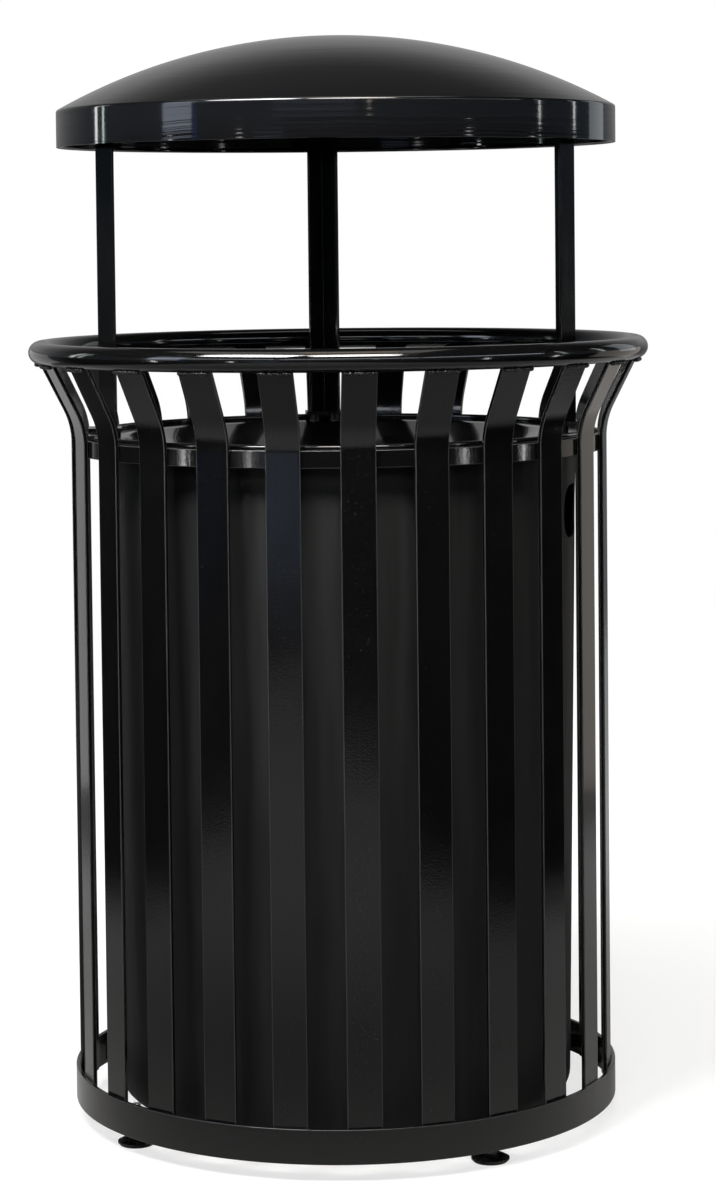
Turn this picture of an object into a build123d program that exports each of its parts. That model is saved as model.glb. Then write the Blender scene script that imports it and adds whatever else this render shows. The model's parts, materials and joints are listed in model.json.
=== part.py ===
from build123d import *

# Round slatted street litter bin with a lift-out liner and a domed rain bonnet on a funnel lid.
# Millimetres. +Z is up, the floor is Z = 0 and the axis of the bin is the Z axis.
# The front of the bin faces -Y. The bonnet stands on three posts: left (-X), right (+X) and back (+Y).
import os
from math import asin, cos, degrees, radians, sin, sqrt, tan

os.makedirs("parts", exist_ok=True)

# Bar, tube and sheet stock
BAR_W = 38.1            # flat bar of the slats, the base hoop and the floor straps
BAR_T = 4.76
TUBE_R = 12.7           # round tube of the top ring
TUBE_WALL = 2.1
SHEET = 2.0             # spun sheet of the lid and the bonnet
EDGE_R = 0.8            # rolled corner of the flat bar

# Cage
SLATS = 24
SLAT_R = 307.6          # outer face of a slat below its bend
SLAT_BOTTOM = 22.0
BEND_Z = 779.0          # where the slats start to lean outwards
BEND_R = 85.0
LEAN = 26.5             # degrees from upright above the bend
RING_R = 342.9          # centreline of the top ring: 711 mm over the tube
RING_Z = 881.0
BASE_Z = 20.0           # underside of the base hoop and of the floor straps
BAND_H = 19.05          # support band inside the slats, under the lid's rim
BAND_Z = 765.0
BEAD_R = 2.6            # weld bead under the top ring
BEAD_L = 35.0
BEAD_OUT = 3.5          # its centre, outside the ring's centreline
BEAD_DROP = 0.4         # its centre, below the ring's underside

# Levelling feet
FOOT_R = 282.0
FOOT_TURN = -60.0       # direction of the first floor strap, from +X
PAD_R = 21.0
PAD_H = 7.0
PAD_EDGE = 2.5          # slope at the pad's lower edge; the upper one runs in twice as far
HUB_R = 8.5
HUB_H = 12.0
SOCKET_Z = 4.0          # bottom of the stem's socket in the pad
STEM_R = 5.0
STEM_TOP = 46.0
STEM_CHAMFER = 1.0
THREAD_GAP = 0.05
NUT_AF = 17.0
NUT_T = 8.0
LOCKNUT_T = 5.0
ANCHOR_R = 7.0

# Liner
LINER_Z = 25.0          # rests on the floor straps
LINER_WALL = 3.2
LINER_R0 = 261.0        # outside, at the bottom corner
LINER_R1 = 272.0        # outside, under the lip
LINER_CORNER = 20.0
LIP_R = 283.0
LIP_T = 6.0
LIP_EDGE = 1.4
GRIP_TURN = -15.5       # direction of one hand-hold, from +X; the other is opposite
GRIP_W = 90.0
GRIP_H = 60.0
GRIP_Z = 696.5
GRIP_CORNER = 24.0
LIFT_GAP = 0.3          # clearance between pieces that lift apart

# Lid
LID_RIM_R = 287.5       # outside of the lid's rim hoop
LID_RIM_H = 15.0
LID_TOP = 789.0         # top of the rolled rim
RIM_BEAD_R = 3.0
LEDGE_Z = 783.0         # top of the flat ledge inside the rim
LEDGE_R = 250.0         # where the ledge turns down into the funnel
FUNNEL = 14.0           # degrees below level
THROAT_R = 152.0
COLLAR_H = 50.0

# Posts
POST_APEX_R = 276.0     # outer corner of the angle bar
POST_LEG = 27.0
POST_T = 3.2
POST_GAP = 3.0          # between the top of a post and the dome
POST_DIRECTIONS = {"left": 180.0, "right": 0.0, "back": 90.0}
FOOT_PLATE_W = 46.0
FOOT_PLATE_IN = 250.0
FOOT_PLATE_OUT = 288.0
SCREW_R = 4.0
SCREW_PITCH_W = 24.0
SCREW_AT = 258.0
BOSS_R = 7.0
SCREW_AF = 13.0
SCREW_HEAD = 5.3

# Bonnet
BONNET_R = 320.0
BONNET_Z = 1114.0       # lower edge of the skirt
BONNET_TOP = 1239.0
DOME_R = 656.0          # sphere radius of the cap
SHOULDER_R = 4.0
HEM_R = 2.5
HEAD_PLATE_Z = 1122.0
FLANGE_L = 40.0
FLANGE_GAP = 0.8        # a flat flange under a round dome touches only at its corners
STUD_R = 3.0
STUD_FOOT = 0.2         # the curved dome falls away from a stud's flat end by less than this
STUD_LENGTH = 16.0
STUD_PITCH_W = 20.0
STUD_NUT_AF = 10.0
STUD_NUT_T = 5.0

# Worked out from the above
slat_mid_r = SLAT_R - BAR_T / 2
slat_in_r = SLAT_R - BAR_T
base_in_r = sqrt(SLAT_R**2 + (BAR_W / 2) ** 2)
strap_top = BASE_Z + BAR_T
throat_z = LEDGE_Z - (LEDGE_R - THROAT_R) * tan(radians(FUNNEL))
lip_top = LEDGE_Z - SHEET - LIFT_GAP
dome_centre_z = BONNET_TOP - DOME_R
screw_grip = SHEET + LID_TOP - LEDGE_Z + BAR_T / 2    # pan, boss and half of the foot plate
screw_places = [(SCREW_AT, SCREW_PITCH_W / 2), (SCREW_AT, -SCREW_PITCH_W / 2)]
stud_places = [(STUD_PITCH_W / 2, 0), (-STUD_PITCH_W / 2, 0)]
foot_angles = [FOOT_TURN + 90.0 * i for i in range(4)]
leg = POST_LEG * cos(radians(45))       # an angle bar's leg, seen square to the bin
nip = POST_T * cos(radians(45))         # the end of a leg, seen the same way
skin = POST_T / cos(radians(45))        # the bar's corner, cut square to the bin
post_mouth_r = POST_APEX_R - leg - nip
dome_in_r = DOME_R - SHEET
plate_top = LID_TOP + BAR_T
flange_tilt = degrees(asin((post_mouth_r - FLANGE_L / 2) / dome_in_r))


def section_plane(angle, radius):
    """Upright plane on the floor at this radius: its x runs outwards at this angle and its y runs up."""
    out = Vector(cos(radians(angle)), sin(radians(angle)), 0)
    return Plane(origin=out * radius, x_dir=out, z_dir=(out.Y, -out.X, 0))


def facing_plane(angle):
    """Upright plane through the bin's axis that faces outwards at this angle, with its y up."""
    a = radians(angle)
    return Plane(origin=(0, 0, 0), x_dir=(-sin(a), cos(a), 0), z_dir=(cos(a), sin(a), 0))


def dome_height(radius, sphere_r):
    """Height of the dome's surface at this distance from the axis."""
    return dome_centre_z + sqrt(sphere_r**2 - radius**2)


def flange_plane(angle):
    """Plane that lies just under the dome where a head plate's flange meets it, facing down."""
    a, tilt = radians(angle), radians(flange_tilt)
    mid_r = dome_in_r * sin(tilt)
    return Plane(
        origin=(mid_r * cos(a), mid_r * sin(a), dome_height(mid_r, dome_in_r)),
        x_dir=(-sin(a), cos(a), 0),
        z_dir=(-sin(tilt) * cos(a), -sin(tilt) * sin(a), -cos(tilt)),
    ).offset(FLANGE_GAP)


# ---------------------------------------------------------------- cage
# Top ring: one length of round tube rolled and butt-welded into a hoop
with BuildPart() as top_ring:
    with BuildSketch(Plane.XZ):
        with Locations((RING_R, RING_Z)):
            Circle(TUBE_R)
            Circle(TUBE_R - TUBE_WALL, mode=Mode.SUBTRACT)
    revolve(axis=Axis.Z)
top_ring.part.label = "top_ring"
export_step(top_ring.part, "parts/top_ring.step")

# Slat along +X: flat bar, upright, then bent outwards and coped to the underside of the top ring
with BuildPart() as slat_blank:
    with BuildLine(Plane.XZ) as slat_path:
        upright = Line((slat_mid_r, SLAT_BOTTOM), (slat_mid_r, BEND_Z))
        bend = JernArc(upright @ 1, (0, 1), BEND_R, -LEAN)
        lean_length = (RING_Z - TUBE_R / 2 - (bend @ 1).Z) / cos(radians(LEAN))
        PolarLine(bend @ 1, lean_length, 90 - LEAN)
    with BuildSketch(Plane.XY.offset(SLAT_BOTTOM)):
        with Locations((slat_mid_r, 0)):
            RectangleRounded(BAR_T, BAR_W, EDGE_R)
    sweep(path=slat_path.line)
    with Locations((0, 0, RING_Z)):
        Torus(RING_R, TUBE_R, mode=Mode.SUBTRACT)

for number in range(SLATS):
    slat_name = f"slat_{number + 1:02d}"
    with BuildPart() as slat:
        add(slat_blank.part, rotation=(0, 0, 360 / SLATS * number - 90))
    slat.part.label = slat_name
    export_step(slat.part, f"parts/{slat_name}.step")

# Weld beads: one in each corner between a slat's outer face and the ring
bead_at_r = RING_R + BEAD_OUT
bead_at_z = RING_Z - TUBE_R - BEAD_DROP
bead_sweep = degrees(BEAD_L / bead_at_r)
with BuildPart() as bead_blank:
    with BuildSketch(Plane.XZ.rotated((0, 0, -bead_sweep / 2))):
        with Locations((bead_at_r, bead_at_z)):
            Circle(BEAD_R)
    revolve(axis=Axis.Z, revolution_arc=bead_sweep)
    with Locations((0, 0, RING_Z)):
        Torus(RING_R, TUBE_R, mode=Mode.SUBTRACT)
    add(slat_blank.part, mode=Mode.SUBTRACT)

with BuildPart() as slat_welds:
    with PolarLocations(0, SLATS, start_angle=-90):
        add(bead_blank.part)
slat_welds.part.label = "slat_welds"
export_step(slat_welds.part, "parts/slat_welds.step")

# Support band: flat hoop welded inside the slats
with BuildPart() as support_band:
    with BuildSketch(Plane.XY.offset(BAND_Z)):
        Circle(slat_in_r)
        Circle(slat_in_r - BAR_T, mode=Mode.SUBTRACT)
    extrude(amount=BAND_H)
    fillet(support_band.edges().filter_by(GeomType.CIRCLE), EDGE_R)
support_band.part.label = "support_band"
export_step(support_band.part, "parts/support_band.step")

# Base hoop: flat bar round the feet of the slats
with BuildPart() as base_hoop:
    with BuildSketch(Plane.XY.offset(BASE_Z)):
        Circle(base_in_r + BAR_T)
        Circle(base_in_r, mode=Mode.SUBTRACT)
    extrude(amount=BAR_W)
    fillet(base_hoop.edges().filter_by(GeomType.CIRCLE), EDGE_R)
base_hoop.part.label = "base_hoop"
export_step(base_hoop.part, "parts/base_hoop.step")

# Floor straps: one whole bar with the anchor hole, and two halves butted to it
strap_plane = Plane.XY.offset(BASE_Z).rotated((0, 0, FOOT_TURN))
with BuildPart() as floor_strap:
    with BuildSketch(strap_plane):
        Rectangle(2 * slat_in_r, BAR_W)
        Circle(ANCHOR_R, mode=Mode.SUBTRACT)
        with Locations((FOOT_R, 0), (-FOOT_R, 0)):
            Circle(STEM_R + THREAD_GAP, mode=Mode.SUBTRACT)
    extrude(amount=BAR_T)
floor_strap.part.label = "floor_strap"
export_step(floor_strap.part, "parts/floor_strap.step")

for side, turn in (("right", 90.0), ("left", -90.0)):
    half_plane = Plane.XY.offset(BASE_Z).rotated((0, 0, FOOT_TURN + turn))
    with BuildPart() as half_strap:
        with BuildSketch(half_plane):
            with Locations(((slat_in_r + BAR_W / 2) / 2, 0)):
                Rectangle(slat_in_r - BAR_W / 2, BAR_W)
            with Locations((FOOT_R, 0)):
                Circle(STEM_R + THREAD_GAP, mode=Mode.SUBTRACT)
        extrude(amount=BAR_T)
    half_strap.part.label = f"floor_strap_{side}"
    export_step(half_strap.part, f"parts/floor_strap_{side}.step")


# Hexagon nuts on the foot stems: weld nuts above the straps, lock nuts below
def nut_group(bottom, thickness):
    with BuildPart() as nuts:
        with BuildSketch(Plane.XY.offset(bottom)):
            with PolarLocations(FOOT_R, 4, start_angle=FOOT_TURN):
                RegularPolygon(NUT_AF / 2, 6, major_radius=False)
                Circle(STEM_R + THREAD_GAP, mode=Mode.SUBTRACT)
        extrude(amount=thickness)
    return nuts


weld_nuts = nut_group(strap_top, NUT_T)
weld_nuts.part.label = "foot_weld_nuts"
export_step(weld_nuts.part, "parts/foot_weld_nuts.step")

lock_nuts = nut_group(BASE_Z - LOCKNUT_T, LOCKNUT_T)
lock_nuts.part.label = "foot_lock_nuts"
export_step(lock_nuts.part, "parts/foot_lock_nuts.step")

# ---------------------------------------------------------------- levelling feet
for number, angle in enumerate(foot_angles, start=1):
    foot_plane = section_plane(angle, FOOT_R)
    foot_axis = Axis(foot_plane.origin, (0, 0, 1))
    # Moulded pad: a round-edged disc with a raised hub and a socket for the stem
    with BuildPart() as pad:
        with BuildSketch(foot_plane):
            with BuildLine():
                Polyline(
                    (0, 0), (PAD_R - PAD_EDGE, 0), (PAD_R, PAD_EDGE), (PAD_R, PAD_H - PAD_EDGE),
                    (PAD_R - 2 * PAD_EDGE, PAD_H), (HUB_R, PAD_H), (HUB_R, HUB_H), (STEM_R, HUB_H),
                    (STEM_R, SOCKET_Z), (0, SOCKET_Z), close=True,
                )
            make_face()
        revolve(axis=foot_axis)
    pad.part.label = f"foot_pad_{number}"
    export_step(pad.part, f"parts/foot_pad_{number}.step")

    # Stem: the screw that stands in the pad's socket and runs up through the nuts
    with BuildPart() as stem:
        with BuildSketch(foot_plane):
            with BuildLine():
                Polyline(
                    (0, SOCKET_Z), (STEM_R, SOCKET_Z), (STEM_R, STEM_TOP - STEM_CHAMFER),
                    (STEM_R - STEM_CHAMFER, STEM_TOP), (0, STEM_TOP), close=True,
                )
            make_face()
        revolve(axis=foot_axis)
    stem.part.label = f"foot_stem_{number}"
    export_step(stem.part, f"parts/foot_stem_{number}.step")

# ---------------------------------------------------------------- liner
# Moulded tub: tapered wall, round bottom corner, turned-out lip and two hand-holds
with BuildPart() as liner:
    with BuildSketch(Plane.XZ):
        with BuildLine():
            Polyline(
                (0, LINER_Z), (LINER_R0, LINER_Z), (LINER_R1, lip_top - LIP_T), (LIP_R, lip_top - LIP_T),
                (LIP_R, lip_top), (LINER_R1 - LINER_WALL, lip_top),
                (LINER_R0 - LINER_WALL, LINER_Z + LINER_WALL), (0, LINER_Z + LINER_WALL), close=True,
            )
        make_face()
    revolve(axis=Axis.Z)
    for level, corner in ((0, LINER_CORNER), (1, LINER_CORNER - LINER_WALL), (-1, LIP_EDGE)):
        fillet(liner.edges().filter_by(GeomType.CIRCLE).group_by(Axis.Z)[level], corner)
    with BuildSketch(facing_plane(GRIP_TURN)):
        with Locations((0, GRIP_Z)):
            RectangleRounded(GRIP_W, GRIP_H, GRIP_CORNER)
    extrude(amount=LIP_R, both=True, mode=Mode.SUBTRACT)
liner.part.label = "liner"
export_step(liner.part, "parts/liner.step")

# ---------------------------------------------------------------- lid
# Rim: a narrow hoop with a rolled top edge that drops over the liner's lip
with BuildPart() as lid_rim:
    with BuildSketch(Plane.XZ):
        with Locations((LID_RIM_R - SHEET / 2, LID_TOP - RIM_BEAD_R - LID_RIM_H / 2)):
            Rectangle(SHEET, LID_RIM_H)
        with Locations((LID_RIM_R - SHEET / 2, LID_TOP - RIM_BEAD_R)):
            Circle(RIM_BEAD_R)
    revolve(axis=Axis.Z)
lid_rim.part.label = "lid_rim"
export_step(lid_rim.part, "parts/lid_rim.step")

# Pan: a flat ledge inside the rim that turns down into a shallow funnel with a large throat
with BuildPart() as lid_pan:
    with BuildSketch(Plane.XZ):
        with BuildLine():
            Polyline(
                (LID_RIM_R - SHEET, LEDGE_Z), (LEDGE_R, LEDGE_Z), (THROAT_R, throat_z),
                (THROAT_R, throat_z - SHEET), (LEDGE_R, LEDGE_Z - SHEET),
                (LID_RIM_R - SHEET, LEDGE_Z - SHEET), close=True,
            )
        make_face()
    revolve(axis=Axis.Z)
    for angle in POST_DIRECTIONS.values():
        with BuildSketch(Plane.XY.offset(LEDGE_Z - SHEET).rotated((0, 0, angle))):
            with Locations(*screw_places):
                Circle(SCREW_R)
        extrude(amount=SHEET, mode=Mode.SUBTRACT)
lid_pan.part.label = "lid_pan"
export_step(lid_pan.part, "parts/lid_pan.step")

# Collar: a short sleeve round the throat that keeps litter off the liner's rim
with BuildPart() as lid_collar:
    with BuildSketch(Plane.XY.offset(throat_z)):
        Circle(THROAT_R)
        Circle(THROAT_R - SHEET, mode=Mode.SUBTRACT)
    extrude(amount=-COLLAR_H)
lid_collar.part.label = "lid_collar"
export_step(lid_collar.part, "parts/lid_collar.step")

# ---------------------------------------------------------------- posts
post_top = dome_height(POST_APEX_R, dome_in_r) - POST_GAP
for side, angle in POST_DIRECTIONS.items():
    level = Plane.XY.rotated((0, 0, angle))

    # Angle bar with its corner outwards and its open side to the middle of the bin
    with BuildPart() as post:
        with BuildSketch(level.offset(plate_top)):
            with BuildLine():
                Polyline(
                    (POST_APEX_R, 0), (POST_APEX_R - leg, leg),
                    (POST_APEX_R - leg - nip, leg - nip), (POST_APEX_R - skin, 0),
                    (POST_APEX_R - leg - nip, nip - leg), (POST_APEX_R - leg, -leg), close=True,
                )
            make_face()
        extrude(amount=post_top - plate_top)
        fillet(post.edges().filter_by(Axis.Z), EDGE_R)
    post.part.label = f"post_{side}"
    export_step(post.part, f"parts/post_{side}.step")

    # Foot plate on the rolled rim, with two tapped bosses that reach down to the ledge
    with BuildPart() as foot_plate:
        with BuildSketch(level.offset(LID_TOP)):
            with Locations(((FOOT_PLATE_IN + FOOT_PLATE_OUT) / 2, 0)):
                Rectangle(FOOT_PLATE_OUT - FOOT_PLATE_IN, FOOT_PLATE_W)
        extrude(amount=BAR_T)
        with BuildSketch(level.offset(LEDGE_Z)):
            with Locations(*screw_places):
                Circle(BOSS_R)
        extrude(amount=LID_TOP - LEDGE_Z)
        with BuildSketch(level.offset(LEDGE_Z)):
            with Locations(*screw_places):
                Circle(SCREW_R)
        extrude(amount=screw_grip - SHEET, mode=Mode.SUBTRACT)
    foot_plate.part.label = f"post_foot_{side}"
    export_step(foot_plate.part, f"parts/post_foot_{side}.step")

    # Head plate: a bar across the open side of the post, bent inwards to lie under the dome
    bend_r = post_mouth_r - BAR_T / 2
    bend_z = dome_height(bend_r, dome_in_r) - FLANGE_GAP - BAR_T / 2
    with BuildPart() as head_plate:
        with BuildSketch(level.offset(HEAD_PLATE_Z)):
            with Locations((bend_r, 0)):
                Rectangle(BAR_T, BAR_W)
        extrude(amount=bend_z - HEAD_PLATE_Z)
        with BuildSketch(flange_plane(angle)):
            Rectangle(BAR_W, FLANGE_L)
            with Locations(*stud_places):
                Circle(STUD_R, mode=Mode.SUBTRACT)
        extrude(amount=BAR_T)
    head_plate.part.label = f"post_head_{side}"
    export_step(head_plate.part, f"parts/post_head_{side}.step")

# Foot screws: from under the ledge, through the pan, into the bosses
with BuildPart() as foot_screws:
    for angle in POST_DIRECTIONS.values():
        under_ledge = Plane.XY.offset(LEDGE_Z - SHEET).rotated((0, 0, angle))
        with BuildSketch(under_ledge):
            with Locations(*screw_places):
                Circle(SCREW_R)
        extrude(amount=screw_grip)
        with BuildSketch(under_ledge):
            with Locations(*screw_places):
                RegularPolygon(SCREW_AF / 2, 6, major_radius=False)
        extrude(amount=-SCREW_HEAD)
foot_screws.part.label = "post_foot_screws"
export_step(foot_screws.part, "parts/post_foot_screws.step")

# Bonnet studs and their nuts: welded under the dome, so that nothing shows on top
with BuildPart() as bonnet_studs:
    for angle in POST_DIRECTIONS.values():
        with BuildSketch(flange_plane(angle).offset(STUD_FOOT - FLANGE_GAP)):
            with Locations(*stud_places):
                Circle(STUD_R)
        extrude(amount=STUD_LENGTH)
bonnet_studs.part.label = "bonnet_studs"
export_step(bonnet_studs.part, "parts/bonnet_studs.step")

with BuildPart() as bonnet_nuts:
    for angle in POST_DIRECTIONS.values():
        with BuildSketch(flange_plane(angle).offset(BAR_T)):
            with Locations(*stud_places):
                RegularPolygon(STUD_NUT_AF / 2, 6, major_radius=False)
                Circle(STUD_R, mode=Mode.SUBTRACT)
        extrude(amount=STUD_NUT_T)
bonnet_nuts.part.label = "bonnet_nuts"
export_step(bonnet_nuts.part, "parts/bonnet_nuts.step")

# ---------------------------------------------------------------- bonnet
# Shell: one spun sheet, a shallow spherical cap with a small round shoulder and an upright skirt
with BuildPart() as bonnet:
    for wall_r, sphere_r, shoulder, mode in (
        (BONNET_R, DOME_R, SHOULDER_R, Mode.ADD),
        (BONNET_R - SHEET, dome_in_r, SHOULDER_R - SHEET, Mode.SUBTRACT),
    ):
        with BuildSketch(Plane.XZ):
            with BuildLine():
                foot = Polyline((0, BONNET_Z), (wall_r, BONNET_Z), (wall_r, dome_height(wall_r, sphere_r)))
                cap = RadiusArc(foot @ 1, (0, dome_centre_z + sphere_r), -sphere_r)
                Line(cap @ 1, foot @ 0)
            make_face()
            corner = vertices().sort_by(Axis.X)[-2:].sort_by(Axis.Y)[-1]
            fillet(corner, shoulder)
        revolve(axis=Axis.Z, mode=mode)
bonnet.part.label = "bonnet"
export_step(bonnet.part, "parts/bonnet.step")

# Hem: the skirt's lower edge rolled inwards over a wire
with BuildPart() as bonnet_hem:
    with BuildSketch(Plane.XZ):
        with Locations((BONNET_R - SHEET - HEM_R, BONNET_Z + HEM_R)):
            Circle(HEM_R)
    revolve(axis=Axis.Z)
bonnet_hem.part.label = "bonnet_hem"
export_step(bonnet_hem.part, "parts/bonnet_hem.step")
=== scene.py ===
# %% [markdown]
# # A slatted street litter bin in gloss black
# The real bin is welded from flat steel bar and round tube, powder coated, with a black plastic tub inside
# and a spun steel lid and bonnet on top. The lesson builds each skin around the measured frame. Gloss black
# shows almost nothing of its own colour, so the work goes into true curves, crisp edges and what they mirror.

# %% Load the frame
import json
import math
import random

import bmesh
import bpy
from mathutils import Matrix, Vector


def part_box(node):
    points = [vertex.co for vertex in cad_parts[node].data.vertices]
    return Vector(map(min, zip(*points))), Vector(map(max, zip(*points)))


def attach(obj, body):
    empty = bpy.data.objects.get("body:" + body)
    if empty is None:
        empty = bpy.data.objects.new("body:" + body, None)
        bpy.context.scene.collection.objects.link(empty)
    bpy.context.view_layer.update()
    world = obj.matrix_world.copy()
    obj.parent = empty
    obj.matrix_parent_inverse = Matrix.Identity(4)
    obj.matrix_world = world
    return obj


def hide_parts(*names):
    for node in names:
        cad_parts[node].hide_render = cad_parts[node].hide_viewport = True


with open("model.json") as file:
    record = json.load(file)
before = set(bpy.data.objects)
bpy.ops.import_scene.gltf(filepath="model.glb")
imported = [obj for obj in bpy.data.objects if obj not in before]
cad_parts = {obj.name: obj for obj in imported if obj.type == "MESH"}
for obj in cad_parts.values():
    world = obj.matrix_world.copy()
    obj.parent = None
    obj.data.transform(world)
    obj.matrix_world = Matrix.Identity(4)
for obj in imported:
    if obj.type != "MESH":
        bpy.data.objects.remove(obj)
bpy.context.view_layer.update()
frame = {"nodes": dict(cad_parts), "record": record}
scene = bpy.context.scene
scene.view_settings.view_transform = "Standard"

# %% [markdown]
# ## Camera
# The bin is seen from a standing person's distance with a longish lens, a little below its bonnet. The eye is
# about a metre up and four degrees to the left. It looks down only three degrees, and the lens shift slides
# the view down the rest of the way, which keeps the uprights upright.

# %% Camera
eye_distance = 3.613
eye_height = 1.017
eye_turn = math.radians(-3.75)
look_down = math.radians(2.97)
roll = math.radians(-0.63)

camera_data = bpy.data.cameras.new("camera")
camera_data.sensor_width = 36.0
camera_data.lens = 94.1
camera_data.shift_x = 0.0162
camera_data.shift_y = -0.1727
camera = bpy.data.objects.new("camera", camera_data)
camera.location = (eye_distance * math.sin(eye_turn), -eye_distance * math.cos(eye_turn), eye_height)
aim = Matrix.Rotation(eye_turn, 4, "Z") @ Matrix.Rotation(math.radians(90) - look_down, 4, "X")
camera.rotation_euler = (aim @ Matrix.Rotation(roll, 4, "Z")).to_euler()
scene.collection.objects.link(camera)
scene.camera = camera
print("camera at", [round(v, 3) for v in camera.location])

# %% [markdown]
# ## Small helpers
# A colour is written as a hex code, the way a paint chart gives it, and turned to the linear values that
# Blender mixes. One function adds a node with its settings and its wires.

# %% Helpers for materials
MM = 0.001


def paint(code):
    """Linear RGBA of an sRGB hex code."""
    parts = [int(code[i:i + 2], 16) / 255 for i in (1, 3, 5)]
    return [p / 12.92 if p <= 0.04045 else ((p + 0.055) / 1.055) ** 2.4 for p in parts] + [1.0]


def add(tree, kind, settings=None, wires=None):
    """Adds a node. settings are its properties; wires are its inputs, each a value or an output."""
    made = tree.nodes.new(kind)
    for key, value in (settings or {}).items():
        setattr(made, key, value)
    for key, value in (wires or {}).items():
        if isinstance(value, bpy.types.NodeSocket):
            tree.links.new(value, made.inputs[key])
        else:
            made.inputs[key].default_value = value
    return made


def new_material(name):
    """An empty material, with its shader and the position on the object in metres."""
    material = bpy.data.materials.new(name)
    material.use_nodes = True
    tree = material.node_tree
    position = add(tree, "ShaderNodeTexCoord").outputs["Object"]
    return material, tree, tree.nodes["Principled BSDF"], position


def spread(tree, vector, size, low, high, detail=2.0):
    """A number that drifts between low and high in patches of this size in metres."""
    noise = add(tree, "ShaderNodeTexNoise", None, {"Vector": vector, "Scale": 1 / size, "Detail": detail})
    ends = {"Value": noise.outputs["Fac"], "From Min": 0.3, "From Max": 0.7, "To Min": low, "To Max": high}
    return add(tree, "ShaderNodeMapRange", None, ends).outputs["Result"]


def bumps(tree, layers):
    """Stacks bump layers, each (height output, strength, depth in metres), and gives the last normal."""
    normal = None
    for height, strength, depth in layers:
        wires = {"Height": height, "Strength": strength, "Distance": depth}
        if normal is not None:
            wires["Normal"] = normal
        normal = add(tree, "ShaderNodeBump", None, wires).outputs["Normal"]
    return normal


# %% [markdown]
# ## Gloss black powder coat
# The cage is sprayed with dry paint powder that melts to a thick skin. It gives the eye a deep black with a
# sharp sheen, a fine orange peel about two millimetres across, and slow waves and upright lines left by the
# bar's rolling. A little dust sits in the peel. The relief is bump, because it is far too shallow to model.
# The melt pulls thin over a sharp edge, so the rounded edges of the bars take a duller coat. Their greyer
# colour is a painted highlight that draws the thin bright lines along the edges of the bars.

# %% Powder coat
peel_size = 2.2 * MM
roll_wave = 60 * MM
dust_size = 1.3 * MM
line_size = 5 * MM
sheen_patch = 45 * MM
wave_deep = 2 * MM
line_deep = 0.3 * MM
peel_deep = 0.1 * MM


def coat_material(name, colour, rough, peel, wave, drawn=0.0):
    """Powder coat: rough is its lowest and highest roughness; peel, wave and drawn are relief strengths."""
    material, tree, shader, position = new_material(name)
    dust = spread(tree, position, dust_size, 0.0, 1.0, 3.0)
    dusty = {"Value": dust, "From Min": 0.9, "From Max": 1.0, "To Min": 0.0, "To Max": 0.5}
    speck = add(tree, "ShaderNodeMapRange", None, dusty).outputs["Result"]
    tone = add(tree, "ShaderNodeMix", {"data_type": "RGBA"},
               {"Factor": speck, "A": paint(colour), "B": paint("#3a3a38")})
    tree.links.new(tone.outputs["Result"], shader.inputs["Base Color"])
    tree.links.new(spread(tree, position, sheen_patch, rough[0], rough[1]), shader.inputs["Roughness"])
    shader.inputs["IOR"].default_value = 1.5
    shader.inputs["Coat Weight"].default_value = 0.25
    shader.inputs["Coat Roughness"].default_value = 0.05
    fine = add(tree, "ShaderNodeTexNoise", None, {"Vector": position, "Scale": 1 / peel_size, "Detail": 1.0})
    slow = add(tree, "ShaderNodeTexNoise", None, {"Vector": position, "Scale": 1 / roll_wave, "Detail": 0.5})
    upright = add(tree, "ShaderNodeMapping", None, {"Vector": position, "Scale": (1.0, 1.0, 0.05)})
    lines = add(tree, "ShaderNodeTexNoise", None,
                {"Vector": upright.outputs["Vector"], "Scale": 1 / line_size, "Detail": 2.0})
    relief = bumps(tree, [(slow.outputs["Fac"], wave, wave_deep), (lines.outputs["Fac"], drawn, line_deep),
                          (fine.outputs["Fac"], peel, peel_deep)])
    tree.links.new(relief, shader.inputs["Normal"])
    return material


bar_coat = coat_material("powder_coat_on_bar", "#060606", (0.09, 0.15), 0.60, 0.12, 0.30)
tube_coat = coat_material("powder_coat_on_tube", "#060606", (0.06, 0.11), 0.25, 0.14)
# The greyer colour of this edge coat is a painted highlight for the bright lines along the bar edges.
edge_coat_painted_highlight = coat_material("powder_coat_painted_edge_highlight", "#282828", (0.30, 0.40), 0.30, 0.12)
post_coat = coat_material("powder_coat_on_posts", "#060606", (0.09, 0.16), 0.45, 0.16, 0.25)
weld_coat = coat_material("powder_coat_on_welds", "#080808", (0.30, 0.45), 0.9, 0.3)
print("powder coats made")

# %% [markdown]
# ## Spun sheet enamel
# The bonnet and lid are spun on a lathe and stoved, so they are smoother than the bars. The roller leaves
# faint level rings on the upright skirt, which break a mirrored lamp into a ladder of short lines.

# %% Spun enamel
ring_pitch = 5.5 * MM
ring_deep = 0.5 * MM
sheet_wave = 110 * MM
sheet_sway = 130 * MM
enamel_patch = 90 * MM
enamel_peel = 0.08


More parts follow.
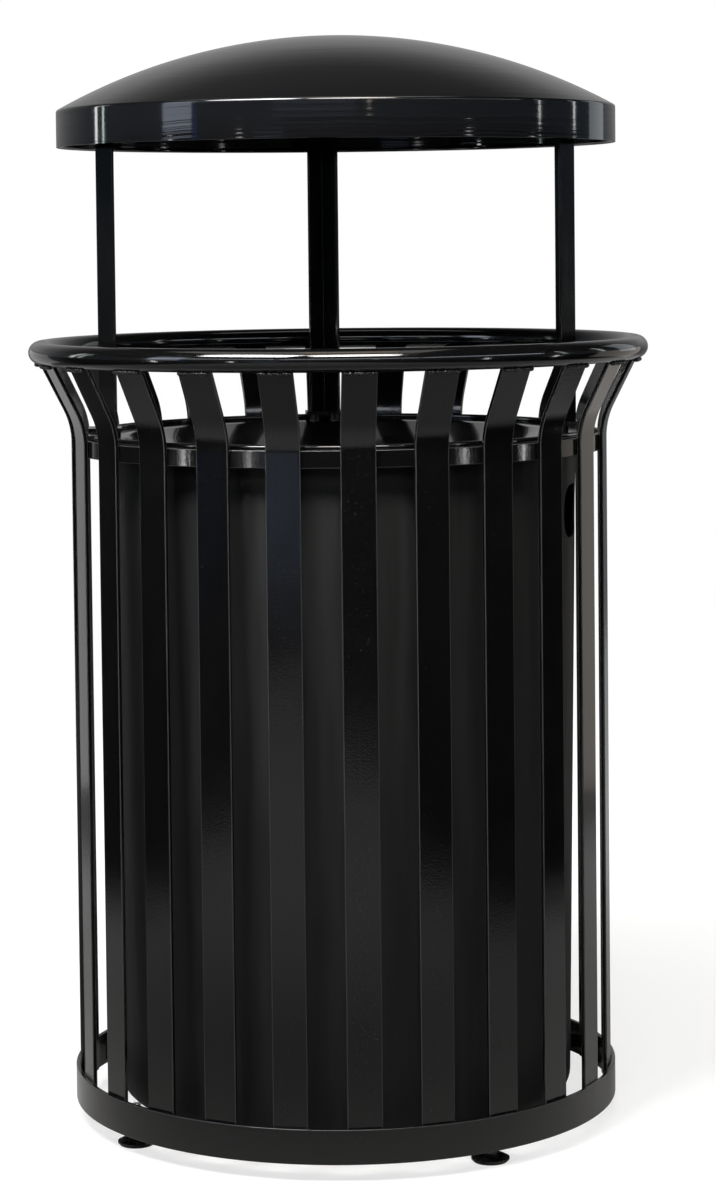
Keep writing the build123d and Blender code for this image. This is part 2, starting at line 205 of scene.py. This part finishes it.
def spun_material(name, rough, rings, wave):
    """Stoved enamel on spun sheet: rings is the strength of the level lathe rings."""
    material, tree, shader, position = new_material(name)
    shader.inputs["Base Color"].default_value = paint("#0a0a0b")
    shader.inputs["IOR"].default_value = 1.5
    shader.inputs["Coat Weight"].default_value = 0.3
    shader.inputs["Coat Roughness"].default_value = 0.03
    tree.links.new(spread(tree, position, enamel_patch, rough[0], rough[1]), shader.inputs["Roughness"])
    split = add(tree, "ShaderNodeSeparateXYZ", None, {"Vector": position})
    sway = spread(tree, position, sheet_sway, -0.6, 0.6)
    turns = add(tree, "ShaderNodeMath", {"operation": "MULTIPLY_ADD"},
                {0: split.outputs["Z"], 1: 1 / ring_pitch, 2: sway})
    ladder = add(tree, "ShaderNodeTexNoise", {"noise_dimensions": "1D"},
                 {"W": turns.outputs["Value"], "Scale": 1.0, "Detail": 2.0})
    slow = add(tree, "ShaderNodeTexNoise", None, {"Vector": position, "Scale": 1 / sheet_wave, "Detail": 0.5})
    fine = add(tree, "ShaderNodeTexNoise", None, {"Vector": position, "Scale": 1 / peel_size, "Detail": 1.0})
    relief = bumps(tree, [(slow.outputs["Fac"], wave, wave_deep), (ladder.outputs["Fac"], rings, ring_deep),
                          (fine.outputs["Fac"], enamel_peel, peel_deep)])
    tree.links.new(relief, shader.inputs["Normal"])
    return material


bonnet_enamel = spun_material("stoved_enamel_bonnet", (0.05, 0.10), 0.36, 0.06)
pan_enamel = spun_material("stoved_enamel_lid", (0.08, 0.14), 0.0, 0.08)
rim_enamel = spun_material("stoved_enamel_rim", (0.05, 0.09), 0.0, 0.05)
print("enamels made")

# %% [markdown]
# ## Moulded polyethylene liner
# The tub is moulded polyethylene: a dull black with a soft, wide sheen, a grain from the mould under a
# millimetre across, a slow sag in the wall, and long faint streaks where it slides in and out of the cage.

# %% Liner plastic
streak_size = 9 * MM
grain_size = 0.9 * MM
sag_size = 160 * MM
liner_plastic, tree, shader, position = new_material("moulded_polyethylene")
stretched = add(tree, "ShaderNodeMapping", None, {"Vector": position, "Scale": (1.0, 1.0, 0.06)})
streak = spread(tree, stretched.outputs["Vector"], streak_size, 0.0, 1.0, 4.0)
tone = add(tree, "ShaderNodeMix", {"data_type": "RGBA"},
           {"Factor": streak, "A": paint("#171717"), "B": paint("#202020")})
tree.links.new(tone.outputs["Result"], shader.inputs["Base Color"])
scuff = add(tree, "ShaderNodeMapRange", None, {"Value": streak, "To Min": 0.46, "To Max": 0.58})
tree.links.new(scuff.outputs["Result"], shader.inputs["Roughness"])
shader.inputs["IOR"].default_value = 1.5
shader.inputs["Specular IOR Level"].default_value = 0.2
grain = add(tree, "ShaderNodeTexNoise", None, {"Vector": position, "Scale": 1 / grain_size, "Detail": 2.0})
sag = add(tree, "ShaderNodeTexNoise", None, {"Vector": position, "Scale": 1 / sag_size, "Detail": 0.0})
relief = bumps(tree, [(sag.outputs["Fac"], 0.3, 4 * MM), (grain.outputs["Fac"], 0.35, 0.12 * MM)])
tree.links.new(relief, shader.inputs["Normal"])

# %% [markdown]
# ## Foot nylon and zinc plate
# The levelling feet are black nylon with a polished moulding skin; their screws and nuts are steel with a
# thin bright zinc plate that goes slightly blue and yellow in patches.

# %% Foot nylon and zinc plate
foot_nylon, tree, shader, position = new_material("moulded_nylon")
shader.inputs["Base Color"].default_value = paint("#141312")
shader.inputs["IOR"].default_value = 1.53
tree.links.new(spread(tree, position, 6 * MM, 0.16, 0.3), shader.inputs["Roughness"])
grain = add(tree, "ShaderNodeTexNoise", None, {"Vector": position, "Scale": 1 / (1.5 * MM), "Detail": 2.0})
tree.links.new(bumps(tree, [(grain.outputs["Fac"], 0.2, 0.1 * MM)]), shader.inputs["Normal"])

zinc_plate, tree, shader, position = new_material("zinc_plated_steel")
shader.inputs["Metallic"].default_value = 1.0
tint = add(tree, "ShaderNodeMix", {"data_type": "RGBA"},
           {"Factor": spread(tree, position, 5 * MM, 0.0, 1.0), "A": paint("#c4c8cc"), "B": paint("#cfc9b8")})
tree.links.new(tint.outputs["Result"], shader.inputs["Base Color"])
tree.links.new(spread(tree, position, 3 * MM, 0.24, 0.42), shader.inputs["Roughness"])
print("materials:", len(bpy.data.materials))

# %% [markdown]
# ## Hoops and shells by spinning
# Every round piece here was rolled or spun in the workshop, so each is made the same way: the outline of its
# wall is drawn once, at one side, and spun round the upright axis. A bevel modifier then rounds the corners,
# because a gloss surface draws a bright line on every rounded edge, and that line is what shows its shape.

# %% The spinning function
TURN_STEPS = 192


def place(mesh_builder, name, material, body, node, bevel=None, arris=None):
    """Turns a bmesh into a smooth piece that rides on a body and stands for a CAD node.

    bevel is the width of its rounded edges, and arris is their own material, where they have one; on the
    bars that is a greyer coat whose grey is a painted highlight.
    """
    mesh = bpy.data.meshes.new(name)
    mesh_builder.to_mesh(mesh)
    mesh_builder.free()
    mesh.shade_smooth()
    piece = bpy.data.objects.new(name, mesh)
    scene.collection.objects.link(piece)
    mesh.materials.append(material)
    if bevel:
        rounding = piece.modifiers.new("rounding", "BEVEL")
        rounding.width = bevel
        rounding.segments = 3
        rounding.limit_method = "ANGLE"
        rounding.angle_limit = math.radians(25)
        rounding.use_clamp_overlap = True
        if arris:
            mesh.materials.append(arris)
            rounding.material = 1
    keep_flat = piece.modifiers.new("keep_flat", "WEIGHTED_NORMAL")
    keep_flat.keep_sharp = False
    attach(piece, body)
    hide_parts(*node)
    return piece


def spun(outline, steps=TURN_STEPS):
    """A closed ring: outline is a loop of (radius, height) points, spun round the upright axis."""
    builder = bmesh.new()
    points = [builder.verts.new((radius, 0, height)) for radius, height in outline]
    edges = [builder.edges.new((a, b)) for a, b in zip(points, points[1:] + points[:1])]
    bmesh.ops.spin(builder, geom=points + edges, cent=(0, 0, 0), axis=(0, 0, 1), dvec=(0, 0, 0),
                   angle=2 * math.pi, steps=steps, use_merge=True)
    bmesh.ops.remove_doubles(builder, verts=builder.verts[:], dist=1e-6)
    bmesh.ops.recalc_face_normals(builder, faces=builder.faces[:])
    return builder


def arc(centre, radius, start, end, points):
    """Points along an arc, from one angle to another in degrees, in the plane of an outline."""
    steps = [math.radians(start + (end - start) * i / (points - 1)) for i in range(points)]
    return [(centre[0] + radius * math.cos(a), centre[1] + radius * math.sin(a)) for a in steps]


# %% [markdown]
# ## Top ring
# The rim is one length of 25 mm tube, rolled to a circle and welded end to end. It takes more steps than the
# other round pieces, because long thin highlights run along it and would show any flat.

# %% Top ring
ring_low, ring_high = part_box("top_ring")
tube_r = (ring_high.z - ring_low.z) / 2
ring_r = ring_high.x - tube_r
ring_z = (ring_high.z + ring_low.z) / 2
tube_points = 24
tube_steps = 256
round_wall = arc((ring_r, ring_z), tube_r, 0, 360 - 360 / tube_points, tube_points)
place(spun(round_wall, tube_steps), "tube_rim", tube_coat, "frame", ["top_ring"])
print("ring", round(ring_r, 4), round(tube_r, 4), round(ring_z, 4))

# %% [markdown]
# ## Base hoop and support band
# Two flat-bar hoops hold the slats: a wide one outside their feet and a narrow one inside, under the lid.

# %% Hoops
bar_t = 4.76 * MM
hoop_edge = 0.8 * MM
for node, name in (("base_hoop", "foot_hoop"), ("support_band", "inner_band")):
    low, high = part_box(node)
    outline = [(high.x - bar_t, low.z), (high.x, low.z), (high.x, high.z), (high.x - bar_t, high.z)]
    place(spun(outline), name, bar_coat, "frame", [node], hoop_edge, edge_coat_painted_highlight)
    print(name, "outside radius", round(high.x, 4))

# %% [markdown]
# ## Slats
# A slat is a flat bar, upright for most of its height and bent outwards near the top over a round former.
# One end face is drawn, pulled straight up, spun through the bend and pulled on into the ring. Real slats
# are never quite alike, so each is turned by a hair, and gloss makes that hair show in what it mirrors.

# %% Slats
slat_low, slat_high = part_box("slat_07")
slat_in = slat_low.x
slat_half = slat_high.y
bend_from = 0.779
bend_r = 0.085
bend_steps = 12
lean = math.radians(26.5)
slat_edge = 0.9 * MM
SLATS = 24
slat_gap = 360 / SLATS
front = -90
most_turn = 0.35
wobble = random.Random(24)


def slat_build():
    """One slat, standing at +X."""
    builder = bmesh.new()
    corners = [(slat_in, -slat_half), (slat_in + bar_t, -slat_half), (slat_in + bar_t, slat_half),
               (slat_in, slat_half)]
    foot = builder.faces.new([builder.verts.new((x, y, slat_low.z)) for x, y in corners])
    foot.normal_flip()
    grown = bmesh.ops.extrude_face_region(builder, geom=[foot], use_keep_orig=True)["geom"]
    top = [item for item in grown if isinstance(item, bmesh.types.BMFace)]
    bmesh.ops.translate(builder, verts=top[0].verts[:], vec=(0, 0, bend_from - slat_low.z))
    centre = (slat_in + bar_t / 2 + bend_r, 0, bend_from)
    turned = bmesh.ops.spin(builder, geom=top, cent=centre, axis=(0, 1, 0), dvec=(0, 0, 0), angle=lean,
                            steps=bend_steps)
    end = [item for item in turned["geom_last"] if isinstance(item, bmesh.types.BMFace)]
    last = bmesh.ops.extrude_face_region(builder, geom=end)["geom"]
    reach = (ring_z - tube_r / 2 - end[0].calc_center_median().z) / math.cos(lean)
    bmesh.ops.delete(builder, geom=top + end, context="FACES_ONLY")
    bmesh.ops.translate(builder, verts=[item for item in last if isinstance(item, bmesh.types.BMVert)],
                        vec=(reach * math.sin(lean), 0, reach * math.cos(lean)))
    bmesh.ops.recalc_face_normals(builder, faces=builder.faces[:])
    return builder


for number in range(SLATS):
    builder = slat_build()
    hair = Matrix.Rotation(math.radians(wobble.uniform(-most_turn, most_turn)), 4, "Z")
    middle = Matrix.Translation((slat_in, 0, 0))
    turn = Matrix.Rotation(math.radians(slat_gap * number + front), 4, "Z")
    bmesh.ops.transform(builder, matrix=turn @ middle @ hair @ middle.inverted(), verts=builder.verts[:])
    label = f"{number + 1:02d}"
    place(builder, "bar_" + label, bar_coat, "frame", ["slat_" + label], slat_edge, edge_coat_painted_highlight)
print("slats:", SLATS, "bar", round(2000 * slat_half, 1), "x", round(1000 * bar_t, 2), "mm")

# %% [markdown]
# ## Weld beads
# Each slat is welded to the underside of the ring across its whole outer face. A hand-laid bead is a row of
# overlapping drops, so it is built from small flattened balls, each a little different in size and place.

# %% Weld beads
drop_pitch = 3.0 * MM
drop_r = 2.9 * MM
drop_sway = 0.4 * MM
bead_out = 2.2 * MM
bead_below = 1.0 * MM
bead_r = ring_r + bead_out
bead_z = ring_z - tube_r - bead_below
drop_shape = Matrix.Diagonal((1.25, 1.0, 0.85, 1.0))
drops = int(2 * slat_half / drop_pitch)
weld = bmesh.new()
for number in range(SLATS):
    middle_angle = math.radians(slat_gap * number + front)
    for i in range(drops):
        offset = (i - (drops - 1) / 2) * drop_pitch + wobble.uniform(-drop_sway, drop_sway)
        angle = middle_angle + offset / bead_r
        size = drop_r * wobble.uniform(0.75, 1.2)
        stand = Matrix.Translation((bead_r * math.cos(angle), bead_r * math.sin(angle), bead_z))
        shape = drop_shape @ Matrix.Rotation(wobble.uniform(0, 3), 4, "X")
        bmesh.ops.create_icosphere(weld, subdivisions=2, radius=size,
                                   matrix=stand @ Matrix.Rotation(angle, 4, "Z") @ shape)
place(weld, "weld_beads", weld_coat, "frame", ["slat_welds"])

# %% [markdown]
# ## Liner
# The tub has a tapered wall, a round bottom corner, a lip turned outwards, and two hand-holds through the
# wall. The wall is spun like the hoops, and two discs close its base. One rounded block, long enough to pass
# through both sides, cuts the hand-holds, and the bevel then softens their edges. Last, both are baked in.

# %% Liner
liner_low, liner_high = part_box("liner")
wall = 3.2 * MM
foot_r = 0.261
neck_r = 0.272
corner_r = 0.020
lip_t = 6.0 * MM
disc_r = 0.050
lip_edge = 1.2 * MM
outer_corner = arc((foot_r - corner_r, liner_low.z + corner_r), corner_r, -90, 0, 8)
inner_corner = arc((foot_r - corner_r, liner_low.z + corner_r), corner_r - wall, 0, -90, 8)
lip_r = liner_high.x
outline = outer_corner + [
    (neck_r, liner_high.z - lip_t), (lip_r, liner_high.z - lip_t), (lip_r, liner_high.z),
    (neck_r - wall, liner_high.z)] + inner_corner
tub = spun(outline + [(disc_r, liner_low.z + wall), (disc_r, liner_low.z)])
for level in (liner_low.z + wall, liner_low.z):
    bmesh.ops.create_circle(tub, cap_ends=True, segments=TURN_STEPS, radius=disc_r,
                            matrix=Matrix.Translation((0, 0, level)))
tunnel = [face for face in tub.faces if all(abs(v.co.xy.length - disc_r) < 1e-5 for v in face.verts)
          and len(face.verts) == 4]
bmesh.ops.delete(tub, geom=tunnel, context="FACES_ONLY")
bmesh.ops.remove_doubles(tub, verts=tub.verts[:], dist=1e-5)
bmesh.ops.recalc_face_normals(tub, faces=tub.faces[:])
liner = place(tub, "tub", liner_plastic, "liner", ["liner"], lip_edge)

grip_turn = math.radians(-15.5)
grip_w = 0.090
grip_h = 0.060
grip_z = 0.6965
grip_round = 0.024
cutter_l = 0.7
cutter_build = bmesh.new()
bmesh.ops.create_cube(cutter_build, size=1.0, matrix=Matrix.Diagonal((cutter_l, grip_w, grip_h, 1.0)))
long_edges = [e for e in cutter_build.edges if abs(e.verts[0].co.x - e.verts[1].co.x) > cutter_l / 2]
bmesh.ops.bevel(cutter_build, geom=long_edges, offset=grip_round, offset_type="OFFSET", segments=8,
                profile=0.5, affect="EDGES", material=-1)
bmesh.ops.transform(cutter_build, verts=cutter_build.verts[:],
                    matrix=Matrix.Translation((0, 0, grip_z)) @ Matrix.Rotation(grip_turn, 4, "Z"))
cutter_mesh = bpy.data.meshes.new("grip_cutter")
cutter_build.to_mesh(cutter_mesh)
cutter_build.free()
cutter = bpy.data.objects.new("grip_cutter", cutter_mesh)
scene.collection.objects.link(cutter)
cut = liner.modifiers.new("hand_holds", "BOOLEAN")
cut.object = cutter
cut.solver = "EXACT"
liner.modifiers.move(len(liner.modifiers) - 1, 0)
bpy.context.view_layer.update()
carved = bpy.data.meshes.new_from_object(liner.evaluated_get(bpy.context.evaluated_depsgraph_get()))
liner.modifiers.clear()
liner.data = carved
bpy.data.objects.remove(cutter)
print("liner faces", len(carved.polygons))

# %% [markdown]
# ## Lid
# The lid is three spun pieces: a narrow hoop with a rolled top edge, a pan with a flat ledge that turns down
# into a shallow funnel, and a short collar round the throat. The funnel sheds water into the liner and
# mirrors the light behind the bin, so its slope matters more than its paint.

# %% Lid
rim_low, rim_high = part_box("lid_rim")
bead = 3.0 * MM
sheet_t = 2.0 * MM
wall_mid = rim_high.x - bead
roll_edge = arc((wall_mid, rim_high.z - bead), bead, -70, 250, 14)
outline = [(wall_mid - sheet_t / 2, rim_low.z), (wall_mid + sheet_t / 2, rim_low.z)] + roll_edge
place(spun(outline), "rolled_rim", rim_enamel, "lid", ["lid_rim"])

pan_low, pan_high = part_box("lid_pan")
pan_edge = 0.5 * MM
ledge_r = 0.250
fold = 6.0 * MM
throat_r = 0.152
throat_z = pan_low.z + sheet_t
turn_down = [(ledge_r + fold, pan_high.z), (ledge_r, pan_high.z - fold / 20),
             (ledge_r - fold, pan_high.z - fold / 4)]
outline = [(pan_high.x, pan_high.z)] + turn_down + [
    (throat_r, throat_z), (throat_r, throat_z - sheet_t), (ledge_r, pan_high.z - sheet_t),
    (pan_high.x, pan_high.z - sheet_t)]
place(spun(outline), "funnel_pan", pan_enamel, "lid", ["lid_pan"], pan_edge)

collar_edge = 0.6 * MM
collar_low, collar_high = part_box("lid_collar")
outline = [(throat_r - sheet_t, collar_low.z), (throat_r, collar_low.z), (throat_r, collar_high.z),
           (throat_r - sheet_t, collar_high.z)]
place(spun(outline), "throat_collar", pan_enamel, "lid", ["lid_collar"], collar_edge)
print("lid rim radius", round(rim_high.x, 4), "throat", throat_r)

# %% [markdown]
# ## Bonnet
# The bonnet is one disc of sheet spun to a shallow cap and turned down to an upright skirt, hollow below.
# Its cap is part of a sphere, and its shoulder is a tight round that catches a thin bright line. The skirt's
# lower edge is rolled inwards to a round hem.

# %% Bonnet
bonnet_low, bonnet_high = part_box("bonnet")
skirt_r = bonnet_high.x
dome_r = 0.656
dome_centre = bonnet_high.z - dome_r
shoulder = 3.5 * MM


def cap(wall_r, sphere_r, round_r):
    """The cap's outline from its crown to its shoulder, for the outer or the inner face of the sheet."""
    centre_r = wall_r - round_r
    centre_z = dome_centre + math.sqrt((sphere_r - round_r) ** 2 - centre_r ** 2)
    edge = math.degrees(math.atan2(centre_z - dome_centre, centre_r))
    crown = arc((0, dome_centre), sphere_r, 90, edge, 40)
    return crown + arc((centre_r, centre_z), round_r, edge, 0, 6)[1:]


outer = cap(skirt_r, dome_r, shoulder)
inner = cap(skirt_r - sheet_t, dome_r - sheet_t, shoulder - sheet_t / 2)
profile = outer + [(skirt_r, bonnet_low.z), (skirt_r - sheet_t, bonnet_low.z)] + inner[::-1]
shell = bmesh.new()
points = [shell.verts.new((radius, 0, height)) for radius, height in profile]
edges = [shell.edges.new(pair) for pair in zip(points, points[1:])]
bmesh.ops.spin(shell, geom=points + edges, cent=(0, 0, 0), axis=(0, 0, 1), dvec=(0, 0, 0), angle=2 * math.pi,
               steps=TURN_STEPS, use_merge=True)
bmesh.ops.remove_doubles(shell, verts=shell.verts[:], dist=1e-6)
bmesh.ops.recalc_face_normals(shell, faces=shell.faces[:])
place(shell, "spun_bonnet", bonnet_enamel, "lid", ["bonnet"])

hem_low, hem_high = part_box("bonnet_hem")
hem_r = (hem_high.z - hem_low.z) / 2
outline = arc((hem_high.x - hem_r, hem_low.z + hem_r), hem_r, 0, 337.5, 16)
place(spun(outline), "rolled_hem", bonnet_enamel, "lid", ["bonnet_hem"])
print("bonnet radius", round(skirt_r, 4), "crown", round(bonnet_high.z, 4))

# %% [markdown]
# ## The pieces that keep their own shape
# Posts, plates, straps, nuts and feet already have their true shapes in the frame, so they only take paint.

# %% Paint for the frame's own pieces
dress = {"gloss_coat": post_coat, "zinc_steel": zinc_plate, "foot_plastic": foot_nylon,
         "liner_plastic": liner_plastic}
slots = {row["node"]: row["material_slot"] for row in frame["record"]["subparts"]}
for name, piece in frame["nodes"].items():
    for material_slot in piece.material_slots:
        material_slot.material = dress[slots[name]]
print("painted", len(frame["nodes"]), "nodes")

# %% [markdown]
# ## Floor
# A pale floor fades into the white surround along an ellipse that is longest away from the eye. It glows
# towards the eye, so that it reads as white, and faintly in all that mirrors it, least close to the bin: that
# drop is a painted shade of the bin on the floor.

# %% Floor
floor_r = 5.6
floor_turn = math.radians(-18)
fade_size = (1.5, 4.8, 1.0)
glow_to_eye = 0.7
glow_in_gloss = 0.3
floor_material, tree, shader, position = new_material("pale_floor")
shader.inputs["Base Color"].default_value = paint("#9c9c9a")
shader.inputs["Roughness"].default_value = 0.85
shader.inputs["Specular IOR Level"].default_value = 0.1
along = add(tree, "ShaderNodeMapping", {"vector_type": "TEXTURE"},
            {"Vector": position, "Rotation": (0, 0, floor_turn), "Scale": fade_size})
reach = add(tree, "ShaderNodeVectorMath", {"operation": "LENGTH"}, {0: along.outputs["Vector"]})
fade = add(tree, "ShaderNodeMapRange", {"interpolation_type": "SMOOTHSTEP"},
           {"Value": reach.outputs["Value"], "From Min": 0.78, "From Max": 1.12})
near = add(tree, "ShaderNodeVectorMath", {"operation": "LENGTH"}, {0: position})
ray = add(tree, "ShaderNodeLightPath")
glow_seen = add(tree, "ShaderNodeMath", {"operation": "MULTIPLY"},
                {0: ray.outputs["Is Camera Ray"], 1: glow_to_eye})
# The glow seen in the gloss is lowest close to the bin: a painted shade of the bin on the floor.
glow_with_painted_bin_shade = add(tree, "ShaderNodeMapRange", {"interpolation_type": "SMOOTHSTEP"},
                {"Value": near.outputs["Value"], "From Min": 0.4, "From Max": 1.8, "To Min": 0.0,
                 "To Max": glow_in_gloss})
glow = add(tree, "ShaderNodeMath", {"operation": "ADD"},
           {0: glow_seen.outputs["Value"], 1: glow_with_painted_bin_shade.outputs["Result"]})
shader.inputs["Emission Color"].default_value = paint("#ffffff")
tree.links.new(glow.outputs["Value"], shader.inputs["Emission Strength"])
clear = add(tree, "ShaderNodeBsdfTransparent")
blend = add(tree, "ShaderNodeMixShader", None,
            {"Fac": fade.outputs["Result"], 1: shader.outputs["BSDF"], 2: clear.outputs["BSDF"]})
tree.links.new(blend.outputs["Shader"], tree.nodes["Material Output"].inputs["Surface"])
ground = bmesh.new()
bmesh.ops.create_circle(ground, cap_ends=True, segments=96, radius=floor_r)
floor_mesh = bpy.data.meshes.new("floor")
ground.to_mesh(floor_mesh)
ground.free()
floor_mesh.materials.append(floor_material)
floor = bpy.data.objects.new("floor", floor_mesh)
scene.collection.objects.link(floor)
print("floor radius", floor_r)

# %% [markdown]
# ## Surround
# The eye sees plain white all round. The gloss mirrors a room instead: a dim hall in front and at the sides,
# darker overhead, and a pale wall behind the bin that darkens as it rises. Below the horizon it is darker.

# %% Surround
world = bpy.data.worlds.new("surround")
scene.world = world
world.use_nodes = True
tree = world.node_tree
heading = add(tree, "ShaderNodeTexCoord").outputs["Generated"]
way = add(tree, "ShaderNodeSeparateXYZ", None, {"Vector": heading})
behind = add(tree, "ShaderNodeMapRange", None, {"Value": way.outputs["Y"], "From Min": 0.5, "From Max": 0.9})
wall_paint = add(tree, "ShaderNodeValToRGB", None, {"Fac": way.outputs["Z"]})
for rise, code in ((0.15, "#a2a2a2"), (0.4, "#9a9a9a"), (0.57, "#757575"), (0.66, "#585858")):
    wall_paint.color_ramp.elements.new(rise).color = paint(code)
wall_paint.color_ramp.elements[0].color = paint("#7c7c7c")
wall_paint.color_ramp.elements[-1].color = paint("#585858")
climb = add(tree, "ShaderNodeMapRange", {"interpolation_type": "SMOOTHSTEP"},
            {"Value": way.outputs["Z"], "From Min": 0.06, "From Max": 0.42})
hall = add(tree, "ShaderNodeMix", {"data_type": "RGBA"},
           {"Factor": climb.outputs["Result"], "A": paint("#4a535c"), "B": paint("#1b1d1f")})
above = add(tree, "ShaderNodeMix", {"data_type": "RGBA"},
            {"Factor": behind.outputs["Result"], "A": hall.outputs["Result"],
             "B": wall_paint.outputs["Color"]})
below = add(tree, "ShaderNodeMix", {"data_type": "RGBA"},
            {"Factor": behind.outputs["Result"], "A": paint("#161616"), "B": paint("#6a6a6a")})
horizon = add(tree, "ShaderNodeMapRange", {"interpolation_type": "SMOOTHSTEP"},
              {"Value": way.outputs["Z"], "From Min": -0.06, "From Max": 0.0})
room = add(tree, "ShaderNodeMix", {"data_type": "RGBA"},
           {"Factor": horizon.outputs["Result"], "A": below.outputs["Result"], "B": above.outputs["Result"]})
lit = add(tree, "ShaderNodeBackground", None, {"Color": room.outputs["Result"], "Strength": 1.0})
seen = add(tree, "ShaderNodeBackground", None, {"Color": paint("#ffffff"), "Strength": 1.0})
ray = add(tree, "ShaderNodeLightPath")
both = add(tree, "ShaderNodeMixShader", None,
           {"Fac": ray.outputs["Is Camera Ray"], 1: lit.outputs["Background"], 2: seen.outputs["Background"]})
tree.links.new(both.outputs["Shader"], tree.nodes["World Output"].inputs["Surface"])
print("surround made")

# %% [markdown]
# ## Lamps and cards
# Gloss black shows its shape only by mirroring something, so most of these lamps are there to be mirrored.
# Two level lamps hang overhead and light the floor and the crown. Two softboxes high in front, narrowed so
# that they light little else, draw the long highlight on the ring. Windows, strips and cards round the bin
# fill its flat bars one by one and break up the skirt. High windows show on the inside of the far slats.


# %% Lamps and cards
def card(name, turn, distance, height, width, tall, glow, tint):
    """A flat lamp that faces the bin. turn is its direction in degrees from the front, to the right."""
    lamp = bpy.data.lights.new(name, "AREA")
    lamp.shape = "RECTANGLE"
    lamp.size = width
    lamp.size_y = tall
    lamp.energy = glow * math.pi * width * tall
    lamp.color = paint(tint)[:3]
    holder = bpy.data.objects.new(name, lamp)
    angle = math.radians(turn)
    holder.location = (distance * math.sin(angle), -distance * math.cos(angle), height)
    holder.rotation_euler = (math.radians(90), 0, angle)
    holder.visible_camera = False
    scene.collection.objects.link(holder)
    return holder


for hung in (card("overhead_lamp", -40, 0.4, 3.3, 2.4, 2.2, 1.1, "#fffdf8"),
             card("warm_ceiling_lamp", 5, 0.55, 2.9, 0.8, 0.18, 3.4, "#ffcb98")):
    hung.rotation_euler = (0, 0, 0)

softbox_tilt = math.radians(43)
softbox_spread = math.radians(45)
spread_loss = 0.3
for softbox in (card("key_softbox", -40, 1.55, 2.3, 1.1, 0.6, 15.0, "#ffffff"),
                card("second_softbox", 3, 1.55, 2.3, 1.0, 0.6, 8.0, "#fffaf3")):
    softbox.rotation_euler.x = softbox_tilt
    softbox.data.spread = softbox_spread
    softbox.data.energy *= spread_loss

# Each row is a name, then the turn, distance, height, width, height of the card, glow and tint.
for row in (("left_window", -67, 3.2, 1.85, 0.75, 1.6, 2.4, "#dfeaff"),
            ("front_window", -12, 4.6, 1.75, 2.6, 1.1, 0.2, "#cfe2ff"),
            ("front_glass", -30, 5.0, 0.45, 1.0, 0.7, 0.45, "#c8dcff"),
            ("blue_board", -60, 5.0, 0.75, 0.16, 1.3, 0.8, "#1a5cb8"),
            ("right_low_card", 118, 2.3, 0.5, 1.6, 1.0, 0.5, "#fff6ec"),
            ("left_low_card", -144, 2.3, 0.5, 1.2, 1.0, 0.35, "#ffffff"),
            ("left_strip_1", -112, 3.0, 1.6, 0.09, 1.2, 7.0, "#ffffff"),
            ("left_strip_2", -107, 3.0, 1.6, 0.06, 1.2, 6.0, "#e8fff4"),
            ("right_strip_1", 82, 3.0, 1.6, 0.06, 1.0, 6.0, "#ffffff"),
            ("right_strip_2", 104, 3.0, 1.6, 0.08, 1.0, 4.0, "#ffffff"),
            ("right_back_card", 124, 3.0, 1.5, 0.8, 1.6, 0.65, "#f4fbff"),
            ("front_bulb", 9, 4.0, 1.5, 0.1, 0.5, 2.5, "#fff4e2")):
    card(*row)
for turn in (-50, 0, 50):
    card("high_window", turn, 4.0, 2.05, 3.6, 0.35, 4.0, "#f2f6ff")
for turn, glow in ((-71, 12.0), (-41, 8.0), (49, 9.0), (79, 9.0)):
    card("edge_strip", turn, 4.0, 0.42, 0.12, 0.8, glow, "#ffffff")
